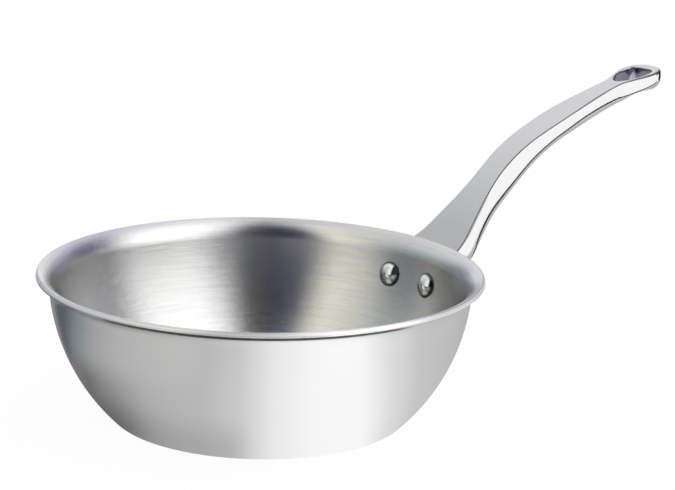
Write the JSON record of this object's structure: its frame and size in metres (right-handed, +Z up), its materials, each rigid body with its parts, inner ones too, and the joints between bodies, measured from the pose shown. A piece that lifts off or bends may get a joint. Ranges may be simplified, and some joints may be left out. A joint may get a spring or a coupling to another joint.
{
  "type": "saucier pan",
  "caption": "Round-bottomed saucier pan of clad sheet with a flared pouring rim and a long cast handle riveted on, with a hanging eye.",
  "frame": {"origin": "on the flat underside, at the bowl's axis", "axes": "+Z up along the bowl's axis, +X from the bowl's axis out along the handle, +Y to the left seen from the handle's tip looking at the bowl"},
  "size_m": [0.4248, 0.24, 0.1611],
  "materials": {
    "brushed_stainless": "fine lines brushed round the bowl, satin",
    "bond_alloy": "plain rolled sheet, seen only as a line in the cut edge",
    "core_aluminium": "plain rolled sheet, seen only as a band in the cut edge",
    "polished_stainless": "mirror polished with faint spun lines",
    "cast_stainless": "fine satin on the flat top face, mirror polished on the sides and below",
    "rivet_steel": "mirror polished dome"
  },
  "bodies": {
    "root": {"inner_skin": "brushed_stainless", "upper_bond_sheet": "bond_alloy", "aluminium_core": "core_aluminium", "lower_bond_sheet": "bond_alloy", "outer_skin": "polished_stainless", "handle": "cast_stainless", "rivet_left": "rivet_steel", "rivet_right": "rivet_steel"}
  },
  "joints": []
}
